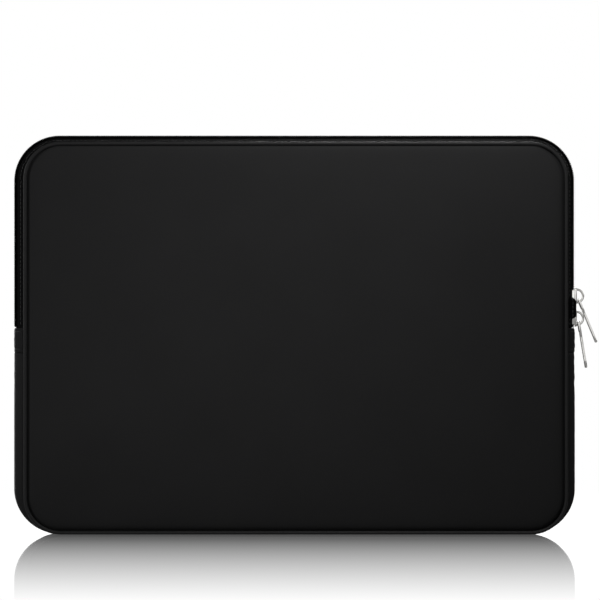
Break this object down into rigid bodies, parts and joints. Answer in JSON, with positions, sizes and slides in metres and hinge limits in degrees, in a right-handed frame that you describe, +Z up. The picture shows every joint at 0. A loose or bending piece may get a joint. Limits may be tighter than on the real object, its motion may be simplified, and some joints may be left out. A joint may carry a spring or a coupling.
{
  "type": "laptop sleeve",
  "caption": "Black neoprene laptop sleeve with piped edges and a zip round its upper half that closes with double metal sliders.",
  "frame": {"origin": "middle of the lower gusset's flat underside, level with the piping that the sleeve also stands on", "axes": "+X along the width, towards the end where the sliders park; +Y through the thickness, from the front panel to the back one; +Z up, towards the zip's top run"},
  "size_m": [0.4115, 0.026, 0.281],
  "materials": {
    "neoprene_face": "matt black nylon jersey laminated on neoprene",
    "neoprene_foam": "closed-cell foam",
    "lining_cloth": "soft brushed jersey",
    "piping_cloth": "satin woven nylon",
    "piping_cord": "twisted cord",
    "binding_tape": "ribbed binding",
    "zip_tape": "herringbone polyester tape",
    "zip_coil": "black nylon monofilament",
    "stop_metal": "crimped, black enamel",
    "slider_metal": "nickel plate, soft gloss"
  },
  "bodies": {
    "sleeve": {"front_shell_lower": "neoprene_face", "front_foam_lower": "neoprene_foam", "front_lining_lower": "lining_cloth", "front_seam_binding_lower": "binding_tape", "front_piping_cover_lower": "piping_cloth", "front_piping_cord_lower": "piping_cord", "front_zip_tape_lower": "zip_tape", "front_zip_coil_lower": "zip_coil", "back_shell": "neoprene_face", "back_foam": "neoprene_foam", "back_lining": "lining_cloth", "back_seam_binding": "binding_tape", "back_piping_cover": "piping_cloth", "back_piping_cord": "piping_cord", "back_zip_tape": "zip_tape", "back_zip_coil": "zip_coil", "lower_gusset": "neoprene_face", "gusset_lining": "lining_cloth", "left_zip_end_tab": "binding_tape", "right_zip_end_tab": "binding_tape", "left_zip_stop": "stop_metal", "right_zip_stop": "stop_metal"},
    "mouth_flap": {"front_shell_upper": "neoprene_face", "front_foam_upper": "neoprene_foam", "front_lining_upper": "lining_cloth", "front_seam_binding_upper": "binding_tape", "front_piping_cover_upper": "piping_cloth", "front_piping_cord_upper": "piping_cord", "front_zip_tape_upper": "zip_tape", "front_zip_coil_upper": "zip_coil"},
    "lower_slider": {"lower_slider_body": "slider_metal", "lower_slider_bridge": "slider_metal"},
    "upper_slider": {"upper_slider_body": "slider_metal", "upper_slider_bridge": "slider_metal"},
    "upper_pull": {"upper_pull_tab": "slider_metal"},
    "lower_pull": {"lower_pull_tab": "slider_metal"}
  },
  "joints": [
    {"name": "mouth_open", "type": "hinge", "parent": "sleeve", "child": "mouth_flap", "pos_m": [0, -0.0132, 0.228], "axis": [1, 0, 0], "range_deg": [0, 35], "stiffness_Nm_per_rad": 0.05},
    {"name": "lower_slider_travel", "type": "slide", "parent": "sleeve", "child": "lower_slider", "axis": [0, 0, 1], "range_m": [0, 0.022]},
    {"name": "upper_slider_travel", "type": "slide", "parent": "lower_slider", "child": "upper_slider", "axis": [0, 0, 1], "range_m": [0, 0.026]},
    {"name": "upper_pull_swing", "type": "hinge", "parent": "upper_slider", "child": "upper_pull", "pos_m": [0.20065, 0, 0.1654], "axis": [0, -1, 0], "range_deg": [0, 118]},
    {"name": "lower_pull_swing", "type": "hinge", "parent": "lower_slider", "child": "lower_pull", "pos_m": [0.20065, 0, 0.1496], "axis": [0, -1, 0], "range_deg": [0, 24]}
  ]
}
